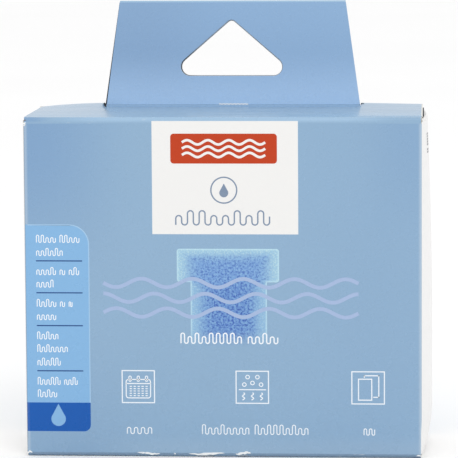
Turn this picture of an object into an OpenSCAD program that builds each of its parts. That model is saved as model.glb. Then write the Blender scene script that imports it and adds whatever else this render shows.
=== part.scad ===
// A filter sponge in its retail carton. The carton is a tuck-end box of folded
// paperboard with a doubled hang tab on its lid, and the sponge is a T-shaped
// block of open-cell foam that stands inside. All sizes are in millimetres.
// The front faces -Y, +Z is up, and the origin is the middle of the base.

/* [Carton] */
// Outer width, left to right
carton_w = 120; // [112:1:140]
// Outer depth, front to back
carton_d = 40; // [38:1:60]
// Outer height of the box without its hang tab
carton_h = 103; // [101:1:130]
// Thickness of the paperboard
board = 0.5; // [0.35:0.05:0.6]
// Gap between a flap and the panel folded over it
flap_gap = 0.3; // [0.1:0.05:0.5]

/* [Hang tab] */
// Height of the tab above the lid
tab_h = 33; // [30:0.5:45]
// Width of the tab where it leaves the lid
tab_base_w = 80; // [60:1:100]
// Width of the tab at its top fold
tab_top_w = 71; // [56:1:86]
// Height of the hang hole's lower edge above the lid
hole_rise = 9.2; // [6:0.1:11]
// Base of the triangular hang hole, before its corners are rounded
hole_base = 41.8; // [30:0.2:46]
// Slope of the hang hole's two upper sides, in degrees
hole_slope = 41; // [30:1:45]
// Radius of the hang hole's two lower corners
hole_foot_r = 2.9; // [1:0.1:4]
// Radius of the hang hole's top corner
hole_peak_r = 1.7; // [0.5:0.1:3]

/* [Closures] */
// Depth of the tuck flaps
tuck_l = 11.5; // [8:0.5:12]
// Length of the dust flaps, from the side inward
dust_l = 38; // [24:1:40]
// Width of the glue flap
glue_flap_w = 14; // [10:1:18]

/* [Sponge] */
// Width of the sponge's cross bar
sponge_w = 100; // [80:1:116]
// Height of the sponge
sponge_h = 98; // [80:0.5:98]
// Thickness of the sponge, front to back
sponge_t = 33; // [20:1:33]
// Width of the sponge's stem
stem_w = 75.4; // [50:0.2:76]
// Height of the sponge's cross bar
bar_h = 32.6; // [20:0.2:60]

/* [Hidden] */
$fn = 48;

half_w = carton_w / 2;
half_d = carton_d / 2;
// Film of adhesive between two glued plies
glue_t = 0.08;
// A closure panel is this much narrower than the box on each side
lid_inset = 0.3;
// The lid's back edge stays this far from the back panel
lid_clear = 0.15;
// The tuck flap stays this far from the back panel, so that it can swing out
tuck_clear = 0.8;
// Half the thickness of the doubled tab, and the radius of its two folds
tab_r = board + glue_t / 2;
// The plane between the two plies of the tab
tab_y = half_d - board - tuck_clear - tab_r;
// Height of the line that the tab folds on
tab_axis_z = carton_h + tab_r;
// A tuck flap's ends stay this far from the side panels
tuck_end_gap = 3.5;
// The tuck flaps lie in the plane of the tab's rear ply
tuck_y = tab_y + glue_t / 2 + board / 2;
// Height of the line that the top tuck flap folds on
tuck_axis_z = carton_h - board - flap_gap - board / 2;
// The side panels stop short of the closures by this much at each end
side_inset = board + flap_gap;
// Corner radii of the flaps
tuck_corner_r = 7;
dust_corner_r = 3;
tab_corner_r = 1.2;
// How far a dust flap's front edge starts from the lid's fold, and how it tapers
dust_front = 1.6;
dust_taper = 28;
// How far a dust flap's rear edge stays from the back, at its root and at its tip
dust_rear_root = 2.6;
dust_rear_tip = 5.8;
// How far the glue flap's ends are set back at its fold, and how much further at its free edge
glue_flap_end = 3;
glue_flap_bevel = 6;
// Margins of the adhesive on the glue flap
seam_margin_end = 12;
seam_margin_side = 2.5;
// Adhesive strips beside the hang hole, between the plies of the tab
tab_strip_w = 8;
tab_strip_h = 20;
tab_strip_x = 22;
tab_strip_rise = 5;
// The sponge stands this far above the bottom dust flaps
rest_gap = 0.05;
// How far a cutting outline passes the solid that it cuts
cut = 1;

function unit(v) = v / norm(v);

// A convex outline whose corners are rounded to the radii given
module rounded_outline(points, radii) {
    n = len(points);
    toward_last = [for (i = [0:n - 1]) unit(points[(i + n - 1) % n] - points[i])];
    toward_next = [for (i = [0:n - 1]) unit(points[(i + 1) % n] - points[i])];
    half_angle = [for (i = [0:n - 1]) acos(toward_last[i] * toward_next[i]) / 2];
    run = [for (i = [0:n - 1]) radii[i] / tan(half_angle[i])];
    polygon([
        for (i = [0:n - 1], side = [toward_last[i], toward_next[i]]) points[i] + side * run[i]
    ]);
    for (i = [0:n - 1]) {
        inward = unit(toward_last[i] + toward_next[i]);
        if (radii[i] > 0)
            translate(points[i] + inward * radii[i] / sin(half_angle[i]))
                circle(radii[i]);
    }
}

// Extrudes an outline in Y and Z along X, centred
module along_x(length) {
    rotate([90, 0, 90])
        translate([0, 0, -length / 2])
            linear_extrude(length)
                children();
}

// Extrudes an outline in X and Z along Y, from y0 to y1
module along_y(y0, y1) {
    translate([0, y1, 0])
        rotate([90, 0, 0])
            linear_extrude(y1 - y0)
                children();
}

// Turns a part of the top closure into the same part of the bottom closure
module at_bottom() {
    translate([0, 0, carton_h])
        mirror([0, 0, 1])
            children();
}

module at_left() {
    mirror([1, 0, 0])
        children();
}

// The front, mitred to both sides and to both closure panels
module front_panel() {
    color([0.42, 0.58, 0.77])
        intersection() {
            linear_extrude(carton_h)
                polygon([
                    [-half_w, -half_d], [half_w, -half_d],
                    [half_w - board, board - half_d], [board - half_w, board - half_d]
                ]);
            along_x(carton_w + cut)
                polygon([
                    [-half_d, 0], [board - half_d, board],
                    [board - half_d, carton_h - board], [-half_d, carton_h]
                ]);
        }
}

// The back, mitred to the left side and to the glue flap
module back_panel() {
    seam_x = half_w - board - glue_t;
    color([0.42, 0.58, 0.77])
        linear_extrude(carton_h)
            polygon([
                [-half_w, half_d], [board - half_w, half_d - board],
                [seam_x - board, half_d - board], [seam_x, half_d]
            ]);
}

// Outline in X and Z of the right side panel, mitred to the dust flaps at both ends
module side_profile() {
    polygon([
        [half_w, side_inset], [half_w, carton_h - side_inset],
        [half_w - board, carton_h - side_inset - board], [half_w - board, side_inset + board]
    ]);
}

// The right side laps over the glue flap and ends flush with the back
module right_side_panel() {
    color([0.93, 0.94, 0.95])
        intersection() {
            linear_extrude(carton_h)
                polygon([
                    [half_w, -half_d], [half_w, half_d],
                    [half_w - board, half_d], [half_w - board, board - half_d]
                ]);
            along_y(-half_d - cut, half_d + cut)
                side_profile();
        }
}

module left_side_panel() {
    color([0.93, 0.94, 0.95])
        intersection() {
            linear_extrude(carton_h)
                polygon([
                    [-half_w, -half_d], [board - half_w, board - half_d],
                    [board - half_w, half_d - board], [-half_w, half_d]
                ]);
            at_left()
                along_y(-half_d - cut, half_d + cut)
                    side_profile();
        }
}

// The lap that closes the sleeve, folded from the back and glued inside the right side
module glue_flap() {
    seam_x = half_w - board - glue_t;
    free_y = half_d - glue_flap_w;
    free_end = glue_flap_end + glue_flap_bevel;
    color([0.88, 0.87, 0.84])
        intersection() {
            linear_extrude(carton_h)
                polygon([
                    [seam_x, half_d], [seam_x - board, half_d - board],
                    [seam_x - board, free_y], [seam_x, free_y]
                ]);
            along_x(carton_w + cut)
                polygon([
                    [half_d, glue_flap_end], [half_d, carton_h - glue_flap_end],
                    [free_y, carton_h - free_end], [free_y, free_end]
                ]);
        }
}

module seam_adhesive() {
    color([0.85, 0.8, 0.66])
        translate([
            half_w - board - glue_t,
            half_d - glue_flap_w + seam_margin_side,
            seam_margin_end
        ])
            cube([glue_t, glue_flap_w - 2 * seam_margin_side, carton_h - 2 * seam_margin_end]);
}

// A closure panel, mitred to the front panel where it folds
module closure_panel() {
    back_y = half_d - board - lid_clear;
    along_x(carton_w - 2 * lid_inset)
        polygon([
            [-half_d, carton_h], [board - half_d, carton_h - board],
            [back_y, carton_h - board], [back_y, carton_h]
        ]);
}

module lid_panel() {
    color([0.42, 0.58, 0.77])
        closure_panel();
}

module bottom_panel() {
    color([0.42, 0.58, 0.77])
        at_bottom()
            closure_panel();
}

// A flap that hangs under a closure panel, with a round upper edge to turn on
module tuck_flap() {
    half_span = half_w - board - tuck_end_gap;
    intersection() {
        along_y(tuck_y - board, tuck_y + board)
            rounded_outline(
                [
                    [-half_span, tuck_axis_z + board], [-half_span, tuck_axis_z - tuck_l],
                    [half_span, tuck_axis_z - tuck_l], [half_span, tuck_axis_z + board]
                ],
                [0, tuck_corner_r, tuck_corner_r, 0]);
        along_x(carton_w) {
            translate([tuck_y - board / 2, tuck_axis_z - tuck_l])
                square([board, tuck_l]);
            translate([tuck_y, tuck_axis_z])
                circle(board / 2);
        }
    }
}

module top_tuck_flap() {
    color([0.42, 0.58, 0.77])
        tuck_flap();
}

module bottom_tuck_flap() {
    color([0.42, 0.58, 0.77])
        at_bottom()
            tuck_flap();
}

// A dust flap folded in from the right side panel, under the lid
module dust_flap() {
    top_z = carton_h - side_inset;
    tip_x = half_w - dust_l;
    intersection() {
        translate([0, 0, top_z - board])
            linear_extrude(board)
                rounded_outline(
                    [
                        [half_w, dust_front - half_d],
                        [half_w, half_d - dust_rear_root],
                        [tip_x, half_d - dust_rear_tip],
                        [tip_x, dust_front - half_d + dust_l * tan(dust_taper)]
                    ],
                    [0, 0, dust_corner_r, dust_corner_r]);
        along_y(-half_d, half_d)
            polygon([
                [half_w, top_z], [half_w - board, top_z - board],
                [tip_x - cut, top_z - board], [tip_x - cut, top_z]
            ]);
    }
}

module top_dust_flap_right() {
    color([0.9, 0.9, 0.88])
        dust_flap();
}

module top_dust_flap_left() {
    color([0.9, 0.9, 0.88])
        at_left()
            dust_flap();
}

module bottom_dust_flap_right() {
    color([0.9, 0.9, 0.88])
        at_bottom()
            dust_flap();
}

module bottom_dust_flap_left() {
    color([0.9, 0.9, 0.88])
        at_bottom()
            at_left()
                dust_flap();
}

// The tab's front view: a trapezium with a rounded triangular hang hole
module tab_outline() {
    hole_z = carton_h + hole_rise;
    difference() {
        rounded_outline(
            [
                [-tab_base_w / 2, carton_h], [tab_base_w / 2, carton_h],
                [tab_top_w / 2, carton_h + tab_h], [-tab_top_w / 2, carton_h + tab_h]
            ],
            [0, 0, tab_corner_r, tab_corner_r]);
        rounded_outline(
            [
                [-hole_base / 2, hole_z], [hole_base / 2, hole_z],
                [0, hole_z + hole_base / 2 * tan(hole_slope)]
            ],
            [hole_foot_r, hole_foot_r, hole_peak_r]);
    }
}

// One ply of the tab: side is -1 for the front one and 1 for the rear one
module tab_ply(side) {
    inner_y = tab_y + side * glue_t / 2;
    outer_y = tab_y + side * (tab_r + cut);
    intersection() {
        along_y(min(inner_y, outer_y), max(inner_y, outer_y))
            tab_outline();
        along_x(carton_w) {
            translate([tab_y - tab_r, tab_axis_z])
                square([2 * tab_r, tab_h - 2 * tab_r]);
            for (z = [tab_axis_z, carton_h + tab_h - tab_r])
                translate([tab_y, z])
                    circle(tab_r);
        }
    }
}

module tab_front_ply() {
    color([0.45, 0.61, 0.8])
        tab_ply(-1);
}

module tab_rear_ply() {
    color([0.45, 0.61, 0.8])
        tab_ply(1);
}

module tab_adhesive_right() {
    color([0.85, 0.8, 0.66])
        translate([tab_strip_x, tab_y - glue_t / 2, carton_h + tab_strip_rise])
            cube([tab_strip_w, glue_t, tab_strip_h]);
}

module tab_adhesive_left() {
    color([0.85, 0.8, 0.66])
        at_left()
            tab_adhesive_right();
}

module foam_block() {
    base_z = board + flap_gap + board + rest_gap;
    shoulder_z = base_z + sponge_h - bar_h;
    color([0.2, 0.42, 0.82])
        along_y(-sponge_t / 2, sponge_t / 2)
            polygon([
                [-stem_w / 2, base_z], [stem_w / 2, base_z],
                [stem_w / 2, shoulder_z], [sponge_w / 2, shoulder_z],
                [sponge_w / 2, base_z + sponge_h], [-sponge_w / 2, base_z + sponge_h],
                [-sponge_w / 2, shoulder_z], [-stem_w / 2, shoulder_z]
            ]);
}

front_panel();
back_panel();
left_side_panel();
right_side_panel();
glue_flap();
seam_adhesive();
lid_panel();
tab_front_ply();
tab_rear_ply();
tab_adhesive_left();
tab_adhesive_right();
top_tuck_flap();
top_dust_flap_left();
top_dust_flap_right();
bottom_panel();
bottom_tuck_flap();
bottom_dust_flap_left();
bottom_dust_flap_right();
foam_block();
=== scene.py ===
# Visual model of a boxed filter sponge: a folding carton with a hang tab, and the foam inside it.
# Lengths in this script are millimetres in the row frame; they become metres as each mesh is made.
import math
import random

import bmesh
import bpy
import numpy as np
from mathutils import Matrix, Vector, noise
from mathutils.geometry import tessellate_polygon


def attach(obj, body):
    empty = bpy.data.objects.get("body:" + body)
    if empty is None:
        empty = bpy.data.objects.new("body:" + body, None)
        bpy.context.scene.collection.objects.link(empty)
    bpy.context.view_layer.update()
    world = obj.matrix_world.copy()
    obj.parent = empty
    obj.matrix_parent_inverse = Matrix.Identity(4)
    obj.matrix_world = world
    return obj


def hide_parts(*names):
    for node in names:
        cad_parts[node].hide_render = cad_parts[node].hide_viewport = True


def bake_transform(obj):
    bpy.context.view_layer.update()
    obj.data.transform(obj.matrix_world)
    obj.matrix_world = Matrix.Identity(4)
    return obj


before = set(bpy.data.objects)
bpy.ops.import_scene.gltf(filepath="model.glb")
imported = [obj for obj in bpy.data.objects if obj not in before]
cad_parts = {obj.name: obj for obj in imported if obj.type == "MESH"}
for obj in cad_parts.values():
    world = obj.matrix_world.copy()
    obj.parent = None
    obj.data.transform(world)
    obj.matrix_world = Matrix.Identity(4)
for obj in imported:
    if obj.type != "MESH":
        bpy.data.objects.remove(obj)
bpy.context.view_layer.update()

MM = 0.001

# -------- carton, as in the CAD model
HALF_W, HALF_D, HEIGHT, BOARD = 60.0, 20.0, 103.0, 0.5
# The hang tab: middle plane, half thickness and height, then half widths and offset to the right
TAB_Y, TAB_R, TAB_H = 18.16, 0.54, 33.0
TAB_BASE, TAB_TOP, TAB_SHIFT = 39.4, 34.9, 0.75
# How far the dust flaps lie below the lid, and above the bottom
DUST_DROP = 0.8
DUST_Z = HEIGHT - DUST_DROP
# The room for a film of adhesive
FILM = 0.08

# -------- what the photo adds to it
# Outer radii of the folds, and the height of the band of paler ink below the front one
CORNER_R = 0.9
FRONT_FOLD_R = 1.0
FRONT_FOLD_BAND = 0.9
BASE_FOLD_R = 1.2
SIDE_FOLD_R = 0.6
TAB_FOLD_R = 0.8
# The print sits a little to the right, the lid isn't pressed flat and the sides bow out
PRINT_SHIFT = 0.5
LID_LIFT = 0.15
WING_LIFT = 1.25
SIDE_BULGE = {1: 2.6, -1: 1.1}


def linear(rgb):
    """An sRGB colour, 0 to 255, as the linear values that the nodes take."""
    return tuple((c / 255 / 12.92) if c <= 10 else ((c / 255 + 0.055) / 1.055) ** 2.4 for c in rgb)


# -------- node helpers
class Net:
    """One material, and short calls that add its nodes. Most return the socket with the result."""

    def __init__(self, name):
        self.mat = bpy.data.materials.new(name)
        self.mat.use_nodes = True
        self.tree = self.mat.node_tree
        self.tree.nodes.clear()
        self.bsdf = self.add("ShaderNodeBsdfPrincipled")
        out = self.add("ShaderNodeOutputMaterial")
        self.tree.links.new(self.bsdf.outputs[0], out.inputs[0])
        self.pos = self.add("ShaderNodeTexCoord").outputs["Object"]

    def add(self, kind, **props):
        n = self.tree.nodes.new(kind)
        for k, v in props.items():
            setattr(n, k, v)
        return n

    def put(self, socket, value):
        if isinstance(value, bpy.types.NodeSocket):
            self.tree.links.new(value, socket)
        else:
            socket.default_value = value

    def math(self, op, *args):
        n = self.add("ShaderNodeMath", operation=op)
        for s, a in zip(n.inputs, args):
            self.put(s, a)
        return n.outputs[0]

    def times(self, a, b):
        return self.math("MULTIPLY", a, b)

    def ramp(self, value, lo, hi, to_lo=0.0, to_hi=1.0):
        """A smooth step from to_lo to to_hi as the value goes from lo to hi."""
        n = self.add("ShaderNodeMapRange", interpolation_type="SMOOTHSTEP")
        for s, a in zip(n.inputs, (value, lo, hi, to_lo, to_hi)):
            self.put(s, a)
        return n.outputs[0]

    def fade(self, place, lo, hi, to_lo=0.0, to_hi=1.0):
        """The same step along an axis, its ends in millimetres."""
        return self.ramp(place, lo * MM, hi * MM, to_lo, to_hi)

    def within(self, place, lo, hi):
        """1 between two places in millimetres, 0 elsewhere."""
        return self.times(self.math("GREATER_THAN", place, lo * MM), self.math("LESS_THAN", place, hi * MM))

    def mix(self, fac, a, b):
        """From colour a to colour b. Each is a socket, an sRGB triple, or linear with its alpha."""
        n = self.add("ShaderNodeMix", data_type="RGBA")
        self.put(n.inputs[0], fac)
        for s, c in ((n.inputs[6], a), (n.inputs[7], b)):
            self.put(s, (*linear(c), 1.0) if isinstance(c, tuple) and len(c) == 3 else c)
        return n.outputs[2]

    def noise(self, scale, detail, rough, stretch=None):
        n = self.add("ShaderNodeTexNoise")
        n.inputs["Scale"].default_value = scale
        n.inputs["Detail"].default_value = detail
        n.inputs["Roughness"].default_value = rough
        src = self.pos
        if stretch:
            m = self.add("ShaderNodeMapping")
            m.inputs["Scale"].default_value = stretch
            self.put(m.inputs["Vector"], src)
            src = m.outputs[0]
        self.put(n.inputs["Vector"], src)
        return n.outputs[0]

    def cells(self, scale, feature="F1"):
        n = self.add("ShaderNodeTexVoronoi", feature=feature)
        n.inputs["Scale"].default_value = scale
        self.put(n.inputs["Vector"], self.pos)
        return n.outputs["Distance"]

    def xyz(self):
        n = self.add("ShaderNodeSeparateXYZ")
        self.put(n.inputs[0], self.pos)
        return n.outputs

    def bump(self, heights):
        """Relief from a list of height, distance in millimetres and strength."""
        last = None
        for height, distance, strength in heights:
            n = self.add("ShaderNodeBump")
            n.inputs["Distance"].default_value = distance * MM
            n.inputs["Strength"].default_value = strength
            self.put(n.inputs["Height"], height)
            if last:
                self.put(n.inputs["Normal"], last)
            last = n.outputs[0]
        self.put(self.bsdf.inputs["Normal"], last)

    def finish(self, color, rough, coat=0.0, specular=0.5):
        self.put(self.bsdf.inputs["Base Color"], color)
        self.put(self.bsdf.inputs["Roughness"], rough)
        self.put(self.bsdf.inputs["Specular IOR Level"], specular)
        self.put(self.bsdf.inputs["Coat Weight"], coat)
        self.put(self.bsdf.inputs["Coat Roughness"], 0.12)
        return self.mat


def mottled(net, rgb, vary):
    """An ink's colour with the cloudiness and fine grain of offset print on board."""
    base = linear(rgb)
    low = (*(c * (1 - vary) for c in base), 1.0)
    high = (*(min(1.0, c * (1 + vary)) for c in base), 1.0)
    cloud = net.times(net.noise(28, 3, 0.6), 0.65)
    grain = net.times(net.noise(900, 2, 0.6), 0.35)
    return net.mix(net.math("ADD", cloud, grain), low, high)


def varnish(net, rough):
    """Roughness and relief of a varnished print: fine board grain over a long faint waviness."""
    net.bump([
        (net.noise(26, 2, 0.4), 0.9, 0.12),
        (net.noise(1100, 3, 0.6), 0.02, 0.35),
    ])
    return net.ramp(net.noise(220, 3, 0.6), 0.3, 0.7, rough - 0.04, rough + 0.05)


def finish_print(net, color):
    """The varnish that most of the print has."""
    return net.finish(color, varnish(net, 0.27), 0.25)


def ink(name, rgb, vary=0.035, rough=0.3, coat=0.15, specular=0.5):
    """One flat ink under the varnish."""
    net = Net(name)
    return net.finish(mottled(net, rgb, vary), varnish(net, rough), coat, specular)


# Inks, as sRGB colours
BASE_RGB = (134, 167, 196)
# Painted shade: low down at the left, and towards the corners and the right
SHADE_RGB = (122, 156, 189)
CORNER_SHADE_RGB = (118, 154, 191)
# Painted highlight for the front's foot and vertical folds; the lid's crease streaks take this colour too
PALE_HIGHLIGHT_AND_STREAK_RGB = (176, 194, 210)
# Painted highlight on the rounded folds and the lid's front
FOLD_HIGHLIGHT_RGB = (151, 183, 211)
LEFT_EDGE_GREY_RGB = (116, 130, 150)
# The tab's head, then a painted highlight at its right and painted light at its foot
TAB_HEAD_RGB = (129, 163, 199)
TAB_HEAD_RIGHT_HIGHLIGHT_RGB = (135, 170, 206)
TAB_FOOT_PAINTED_LIGHT_RGB = (176, 208, 242)
WHITE_RGB = (232, 231, 229)
TAG_RGB = (125, 174, 216)
TAG_DARK_RGB = (3, 86, 170)
# The board where its ink has gone
TORN_RGB = (238, 238, 236)
CRACKED_RGB = (236, 236, 232)

# The tag at the front's left: its edges' distance from the middle, then its heights from the base
TAG_LEFT, TAG_RIGHT = 59.4, 40.8
TAG_FOOT, TAG_SPLIT, TAG_HEAD = 7.6, 16.4, 70.6


def make_print():
    """The carton's blue print, with painted shade towards its upper corners, its right and low at its left,
    and painted highlight along its folds and at its foot on the right.
    """
    net = Net("print_blue")
    x, y, z = net.xyz()
    left = net.times(x, -1.0)
    color = mottled(net, BASE_RGB, 0.04)

    # Painted shade: darker at the upper left, towards the right and most at its top, and low down at the
    # left
    upper_left = net.times(net.fade(x, -58, -22, 1.0, 0.0), net.fade(z, 45, 96))
    upper_right = net.times(net.fade(x, 38, 56), net.fade(z, 60, 98, 0.0, 0.35))
    whole_right = net.math("ADD", upper_right, net.fade(x, 5, 50, 0.0, 0.2))
    lower_left = net.times(net.fade(z, 4, 42, 0.42, 0.0), net.fade(x, -48, -18, 1.0, 0.1))
    # Painted highlight: pale at the foot on the right, and along both vertical folds
    foot = net.times(net.fade(z, 2, 8, 0.16, 0.0), net.fade(x, -45, -20))
    right_fold = net.fade(x, HALF_W - 1.5, HALF_W - 0.3, 0.0, 0.75)
    left_fold = net.fade(left, HALF_W - 1.6, HALF_W - 0.8, 0.0, 0.5)
    for amount, rgb in (
        (upper_left, CORNER_SHADE_RGB),
        (whole_right, CORNER_SHADE_RGB),
        (lower_left, SHADE_RGB),
        (foot, PALE_HIGHLIGHT_AND_STREAK_RGB),
        (right_fold, PALE_HIGHLIGHT_AND_STREAK_RGB),
        (left_fold, PALE_HIGHLIGHT_AND_STREAK_RGB),
    ):
        color = net.mix(amount, color, rgb)

    # The tag's ink runs on round the left fold, which turns grey at its very edge
    front = net.math("LESS_THAN", y, -15 * MM)
    beside_tag = net.times(net.math("GREATER_THAN", left, (TAG_LEFT - 0.7) * MM), front)
    for low, high, rgb in ((TAG_FOOT, TAG_SPLIT, TAG_DARK_RGB), (TAG_SPLIT, TAG_HEAD, TAG_RGB)):
        color = net.mix(net.times(net.within(z, low, high), beside_tag), color, rgb)
    marked_mask = net.fade(left, HALF_W - 0.6, HALF_W - 0.3, 0.0, 0.75)
    color = net.mix(net.times(marked_mask, front), color, LEFT_EDGE_GREY_RGB)

    # The lower right corner has lost its ink
    low_down = net.fade(z, 7, 12, 0.9, 0.0)
    corner = net.fade(x, HALF_W - 0.6, HALF_W - 0.35)
    color = net.mix(net.times(low_down, corner), color, TORN_RGB)
    return finish_print(net, color)


def make_lid():
    """The lid's print: the same ink, with a painted highlight that makes it paler in front, and long faint
    streaks from creasing.
    """
    net = Net("print_blue_lid")
    x, y, _ = net.xyz()
    streak = net.noise(150, 3, 0.6, stretch=(0.12, 1.0, 1.0))
    color = net.mix(net.times(streak, 0.5), mottled(net, BASE_RGB, 0.03), PALE_HIGHLIGHT_AND_STREAK_RGB)
    net.bump([
        (net.noise(26, 2, 0.4), 0.9, 0.1),
        (streak, 0.05, 0.2),
        (net.noise(1100, 3, 0.6), 0.02, 0.06),
    ])
    # Painted highlight: paler towards the front fold, more so at the right
    front = net.times(net.fade(y, -19, 2, 1.0, 0.0), net.fade(x, -5, 48, 0.45, 1.0))
    color = net.mix(net.times(front, 0.8), color, FOLD_HIGHLIGHT_RGB)
    gloss = net.times(net.fade(x, -50, 50, 0.56, 0.33), net.math("SUBTRACT", 1.0, front))
    gloss = net.times(gloss, net.fade(y, 0.0, 18, 1.0, 1.5))
    return net.finish(color, net.ramp(streak, 0.3, 0.7, 0.25, 0.34), 0.0, gloss)


def make_tab():
    """The hang tab's print, with painted light that makes it paler towards the lid, least at its left, and a
    painted highlight on the right of its head.
    """
    net = Net("print_blue_tab")
    x, _, z = net.xyz()
    # Painted light: the foot is paler, as though lit from the lid, least at the left; the head is painted
    # lighter at the right
    left = net.fade(x, -38, -18, 0.25, 0.0)
    up = net.math("MAXIMUM", net.fade(z, HEIGHT - 4, HEIGHT + 19), left)
    head = net.mix(net.fade(x, -30, 5), mottled(net, TAB_HEAD_RGB, 0.04), TAB_HEAD_RIGHT_HIGHLIGHT_RGB)
    color = net.mix(up, mottled(net, TAB_FOOT_PAINTED_LIGHT_RGB, 0.03), head)
    return finish_print(net, color)


def make_folded(name, rgb, crack, fades=False):
    """The print on a fold in the colour given: paler for a painted highlight on the upper folds, darker for
    painted shade on the base fold, its ink cracked to white in places. It can fade at its ends and foot, and
    at its left to the painted corner shade.
    """
    net = Net(name)
    color = mottled(net, rgb, 0.045)
    if fades:
        x, _, z = net.xyz()
        fold_foot = HEIGHT - FRONT_FOLD_R - FRONT_FOLD_BAND
        ends = net.fade(net.math("ABSOLUTE", x), 34, 57, 0.0, 0.95)
        color = net.mix(ends, color, BASE_RGB)
        color = net.mix(net.fade(x, -58, -51, 0.9, 0.0), color, CORNER_SHADE_RGB)
        color = net.mix(net.fade(z, fold_foot, fold_foot + 1.1, 1.0, 0.0), color, BASE_RGB)
    streak = net.noise(420, 4, 0.7, stretch=(0.35, 1.6, 1.6))
    patch = net.ramp(net.noise(34, 2, 0.5), 0.47, 0.62)
    marked_mask = net.times(net.ramp(streak, 0.62, 0.7), patch)
    color = net.mix(net.times(marked_mask, crack), color, CRACKED_RGB)
    return finish_print(net, color)


def make_gap():
    """The shaded inner face of the tab's rear ply, darkest at its left."""
    net = Net("board_gap_shade")
    x = net.xyz()[0]
    grain = net.times(net.noise(600, 3, 0.6), 0.25)
    pale = net.math("ADD", net.fade(x, -14, -9, 0.0, 0.7), grain)
    color = net.mix(pale, (46, 52, 60), (166, 174, 184))
    net.bump([(net.noise(600, 3, 0.6), 0.03, 0.4)])
    return net.finish(color, 0.85, 0.0, 0.2)


def make_raw():
    """The unprinted inside of the board: grey-white with short fibres."""
    net = Net("board_inside")
    fibre = net.noise(420, 5, 0.75, stretch=(1.0, 1.0, 0.3))
    fleck = net.ramp(net.cells(420), 0.0, 0.16, 1.0, 0.0)
    color = net.mix(net.ramp(fibre, 0.3, 0.7), (212, 209, 201), (228, 225, 218))
    color = net.mix(net.times(fleck, 0.3), color, (158, 150, 136))
    net.bump([(fibre, 0.04, 0.5)])
    return net.finish(color, 0.85, 0.0, 0.25)


def make_edge():
    """The board's cut edge: layers of pale pulp."""
    net = Net("board_edge")
    layers = net.noise(500, 3, 0.7, stretch=(0.3, 2.0, 0.6))
    color = net.mix(layers, (205, 203, 196), (246, 245, 241))
    net.bump([(layers, 0.05, 0.5)])
    return net.finish(color, 0.9, 0.0, 0.2)


def make_foam():
    """Open-cell foam: blue walls, and pores darkened with painted shade."""
    net = Net("foam_blue")
    wide = net.cells(520, "DISTANCE_TO_EDGE")
    fine = net.cells(1150, "DISTANCE_TO_EDGE")
    pore = net.ramp(wide, 0.03, 0.3)
    color = net.mix(pore, (96, 156, 226), (22, 62, 150))
    color = net.mix(net.ramp(fine, 0.02, 0.2, 0.45, 0.0), color, (128, 182, 238))
    color = net.mix(net.times(net.noise(60, 3, 0.6), 0.3), color, (34, 92, 190))
    net.bump([(net.math("SUBTRACT", 1.0, pore), 0.7, 0.9), (fine, 0.25, 0.6)])
    return net.finish(color, 0.95, 0.0, 0.15)


def make_glue():
    """Dried adhesive: cream, faintly mottled and a little glossy."""
    net = Net("dry_adhesive")
    color = net.mix(net.noise(300, 3, 0.6), (206, 194, 150), (228, 220, 188))
    net.bump([(net.noise(400, 2, 0.5), 0.03, 0.5)])
    return net.finish(color, 0.4, 0.0, 0.4)


# The printed picture of the foam: a T whose rim glows and whose foot fades into the background
PIC = dict(bar=(-14.3, 16.5), stem=(-10.2, 12.8), top=63.4, shoulder=53.3, foot=32.6)


def make_picture():
    """Pale at its rim and deep blue in its middle, with the dark and light specks of open cells."""
    net = Net("print_foam_picture")
    x, _, z = net.xyz()
    x = net.math("SUBTRACT", net.math("DIVIDE", x, MM), PRINT_SHIFT)
    z = net.math("DIVIDE", z, MM)

    def inside(span):
        left = net.math("SUBTRACT", x, span[0])
        right = net.math("SUBTRACT", span[1], x)
        return net.math("MINIMUM", left, right)

    # How far in from the outline, for the thin rim, and from the sides and top, for the core
    bar = net.math("MINIMUM", inside(PIC["bar"]), net.math("SUBTRACT", z, PIC["shoulder"]))
    stem = inside(PIC["stem"])
    below_top = net.math("SUBTRACT", PIC["top"], z)
    depth = net.math("MINIMUM", net.math("MAXIMUM", bar, stem), below_top)
    across = net.math("MINIMUM", inside(PIC["bar"]), net.times(below_top, 1.6))
    in_stem = net.ramp(z, PIC["shoulder"] - 2.0, PIC["shoulder"] + 1.0, 1.0, 0.0)
    across = net.math("ADD", across, net.times(in_stem, net.math("SUBTRACT", stem, across)))
    wander = net.times(net.math("SUBTRACT", net.noise(420, 2, 0.6), 0.5), 2.0)
    reach = net.ramp(net.math("ADD", across, wander), 0.0, 10.5)
    core = net.times(reach, net.math("SUBTRACT", 2.0, reach))

    outer = net.mix(in_stem, (151, 191, 213), (134, 176, 209))
    inner = net.mix(in_stem, (106, 149, 204), (90, 134, 196))
    body = net.mix(core, outer, inner)
    speck = net.noise(1500, 2, 0.7)
    deep = net.ramp(z, PIC["shoulder"] - 6.0, PIC["shoulder"] + 6.0, 1.0, 0.65)
    dark = net.times(net.ramp(speck, 0.52, 0.6, 0.0, deep), net.ramp(core, 0.1, 0.9))
    body = net.mix(dark, body, (42, 86, 166))
    light = net.ramp(speck, 0.4, 0.47, 0.42, 0.0)
    body = net.mix(light, body, (146, 192, 222))
    pale = net.times(net.ramp(core, 0.0, 0.6, 0.5, 0.0), net.ramp(in_stem, 0.0, 1.0, 1.0, 0.5))
    dots = net.times(net.ramp(net.noise(2300, 1, 0.5), 0.53, 0.6), pale)
    body = net.mix(dots, body, (200, 226, 226))
    rim = net.ramp(depth, 0.1, 0.7, 0.6, 0.0)
    body = net.mix(rim, body, (190, 224, 234))

    shown = net.ramp(z, PIC["foot"] + 0.5, PIC["foot"] + 7.0)
    color = net.mix(shown, mottled(net, BASE_RGB, 0.04), body)
    return finish_print(net, color)


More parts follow.
